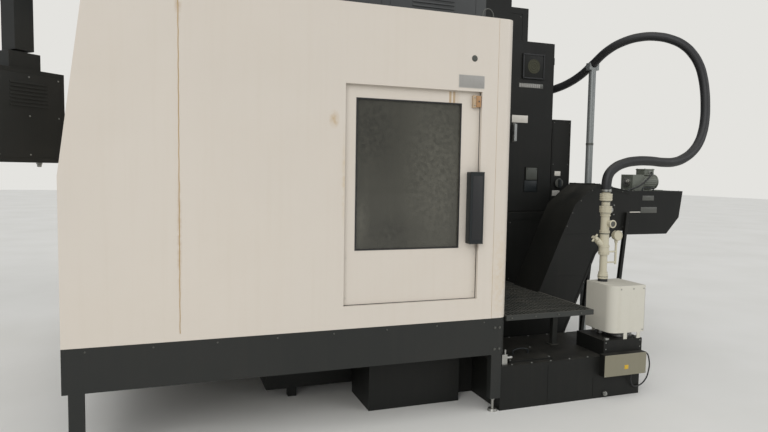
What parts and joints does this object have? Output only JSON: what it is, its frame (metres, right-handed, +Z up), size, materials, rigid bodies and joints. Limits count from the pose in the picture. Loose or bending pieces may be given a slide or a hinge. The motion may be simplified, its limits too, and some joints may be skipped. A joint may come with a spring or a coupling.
{
  "type": "horizontal machining center",
  "caption": "Enclosed horizontal machining center with pallet changer, sliding side door, chip conveyor, coolant unit, electrical cabinet, step platform and swing-arm operator pendant.",
  "frame": {"origin": "centre of the overall box, on the floor", "axes": "+X from the loading door and pendant at the front to the chip discharge at the rear, +Y across the machine away from the side with the sliding door, +Z up"},
  "size_m": [5.2518, 3.55, 3.12],
  "materials": {
    "white_paint": "satin powder coat with faint yellow stains",
    "black_paint": "fine textured powder coat",
    "charcoal_paint": "satin paint, dusty",
    "cast_iron": "painted casting with machined ways",
    "steel": "ground or turned steel",
    "light_grey_paint": "smooth paint with handling marks",
    "motor_paint": "grey machine paint",
    "zinc_latch": "satin grey",
    "cream_pvc": "moulded pipe fittings, slightly glossy",
    "black_rubber": "ribbed hose rubber, matte",
    "black_plastic": "grained plastic",
    "smoked_glass": "dark smoked safety glazing",
    "red_plastic": "gloss",
    "green_plastic": "gloss"
  },
  "bodies": {
    "machine": {"bed_casting": "cast_iron", "levelling_feet": "steel", "base_skirt": "black_paint", "side_panel": "white_paint", "corner_post": "white_paint", "far_side_panel": "white_paint", "front_panel": "white_paint", "upper_housing": "black_paint", "rear_housing": "black_paint", "chamber_floor": "steel", "guide_rails": "steel", "electrical_cabinet": "black_paint", "cabinet_backplate": "light_grey_paint", "switch_box": "black_paint", "coolant_tank": "black_paint", "tank_lid": "black_paint", "pump_housing": "light_grey_paint", "coolant_pump": "steel", "riser_pipe": "cream_pvc", "bypass_line": "steel", "riser_coupling": "black_rubber", "coolant_hose": "black_rubber", "hose_post": "steel", "conveyor_casing": "charcoal_paint", "conveyor_hood": "charcoal_paint", "conveyor_motor": "motor_paint", "conveyor_belt": "steel", "terminal_box": "motor_paint", "tank_fittings": "steel", "platform_frame": "charcoal_paint", "platform_grating": "charcoal_paint", "magazine_stand": "cast_iron", "pendant_post": "black_paint"},
    "side_door": {"side_door": "white_paint", "side_door_window": "smoked_glass", "side_door_handle": "black_plastic"},
    "loading_door": {"loading_door": "white_paint", "loading_door_window": "smoked_glass"},
    "column": {"column": "cast_iron"},
    "spindle_head": {"spindle_head": "cast_iron"},
    "spindle": {"spindle": "steel"},
    "table_saddle": {"table_saddle": "cast_iron"},
    "rotary_table": {"rotary_table": "cast_iron", "work_pallet": "steel"},
    "changer_shaft": {"changer_shaft": "steel"},
    "changer_arm": {"changer_arm": "cast_iron", "setup_pallet": "steel"},
    "magazine_wheel": {"magazine_wheel": "steel"},
    "change_arm": {"change_arm": "steel"},
    "cabinet_door": {"cabinet_door": "black_paint"},
    "cabinet_latch": {"cabinet_latch": "zinc_latch"},
    "cabinet_fan": {"cabinet_fan": "black_plastic"},
    "main_switch": {"main_switch": "black_plastic"},
    "valve_knob": {"valve_knob": "cream_pvc"},
    "conveyor_shaft": {"conveyor_shaft": "steel"},
    "pendant_arm": {"pendant_arm": "black_paint"},
    "pendant_box": {"pendant_box": "black_paint"},
    "emergency_stop": {"emergency_stop": "red_plastic"},
    "start_button": {"start_button": "green_plastic"},
    "feed_knob": {"feed_knob": "black_plastic"}
  },
  "joints": [
    {"name": "side_door_slide", "type": "slide", "parent": "machine", "child": "side_door", "axis": [-1, 0, 0], "range_m": [0, 0.78]},
    {"name": "loading_door_slide", "type": "slide", "parent": "machine", "child": "loading_door", "axis": [0, 1, 0], "range_m": [0, 0.95]},
    {"name": "column_slide", "type": "slide", "parent": "machine", "child": "column", "axis": [0, 1, 0], "range_m": [-0.25, 0.25]},
    {"name": "head_slide", "type": "slide", "parent": "column", "child": "spindle_head", "axis": [0, 0, 1], "range_m": [-0.3, 0.3]},
    {"name": "spindle_spin", "type": "hinge", "parent": "spindle_head", "child": "spindle", "pos_m": [0.2839, 0.135, 1.45], "axis": [1, 0, 0], "continuous": true},
    {"name": "table_slide", "type": "slide", "parent": "machine", "child": "table_saddle", "axis": [1, 0, 0], "range_m": [-0.54, 0.18]},
    {"name": "table_turn", "type": "hinge", "parent": "table_saddle", "child": "rotary_table", "pos_m": [-0.0361, 0.135, 0.8], "axis": [0, 0, 1], "continuous": true},
    {"name": "changer_lift", "type": "slide", "parent": "machine", "child": "changer_shaft", "axis": [0, 0, 1], "range_m": [0, 0.06]},
    {"name": "changer_turn", "type": "hinge", "parent": "changer_shaft", "child": "changer_arm", "pos_m": [-1.1361, 0.135, 0.9], "axis": [0, 0, 1], "range_deg": [0, 180]},
    {"name": "magazine_turn", "type": "hinge", "parent": "machine", "child": "magazine_wheel", "pos_m": [0.2759, 1.325, 1.7], "axis": [1, 0, 0], "continuous": true},
    {"name": "change_arm_swing", "type": "hinge", "parent": "machine", "child": "change_arm", "pos_m": [0.2139, 0.705, 1.7], "axis": [1, 0, 0], "range_deg": [0, 90]},
    {"name": "cabinet_door_hinge", "type": "hinge", "parent": "machine", "child": "cabinet_door", "pos_m": [1.6289, -0.517, 1.95], "axis": [0, 0, 1], "range_deg": [0, 40]},
    {"name": "cabinet_latch_turn", "type": "hinge", "parent": "cabinet_door", "child": "cabinet_latch", "pos_m": [1.2469, -0.525, 1.903], "axis": [0, 1, 0], "range_deg": [0, 90]},
    {"name": "cabinet_fan_spin", "type": "hinge", "parent": "cabinet_door", "child": "cabinet_fan", "pos_m": [1.4149, -0.491, 2.47], "axis": [0, 1, 0], "continuous": true},
    {"name": "main_switch_turn", "type": "hinge", "parent": "machine", "child": "main_switch", "pos_m": [1.7109, -0.525, 1.475], "axis": [0, 1, 0], "range_deg": [0, 90]},
    {"name": "valve_knob_turn", "type": "hinge", "parent": "machine", "child": "valve_knob", "pos_m": [1.4309, -1.5, 1.028], "axis": [-0.766, 0, 0.6428], "range_deg": [0, 90]},
    {"name": "conveyor_drive_spin", "type": "hinge", "parent": "machine", "child": "conveyor_shaft", "pos_m": [1.8359, -0.875, 1.27], "axis": [0, 1, 0], "continuous": true},
    {"name": "pendant_arm_swing", "type": "hinge", "parent": "machine", "child": "pendant_arm", "pos_m": [-1.7941, -1.225, 2.9], "axis": [0, 0, 1], "range_deg": [0, 60]},
    {"name": "pendant_swivel", "type": "hinge", "parent": "pendant_arm", "child": "pendant_box", "pos_m": [-2.3961, -0.89, 2.232], "axis": [0, 0, 1], "range_deg": [-45, 45]},
    {"name": "emergency_stop_press", "type": "slide", "parent": "pendant_box", "child": "emergency_stop", "axis": [0.7071, -0.7071, 0], "range_m": [0, 0.005], "stiffness_N_per_m": 900},
    {"name": "start_button_press", "type": "slide", "parent": "pendant_box", "child": "start_button", "axis": [0.7071, -0.7071, 0], "range_m": [0, 0.005], "stiffness_N_per_m": 700},
    {"name": "feed_knob_turn", "type": "hinge", "parent": "pendant_box", "child": "feed_knob", "pos_m": [-2.41731, -0.78393, 1.66], "axis": [-0.7071, 0.7071, 0], "range_deg": [-135, 135]}
  ]
}
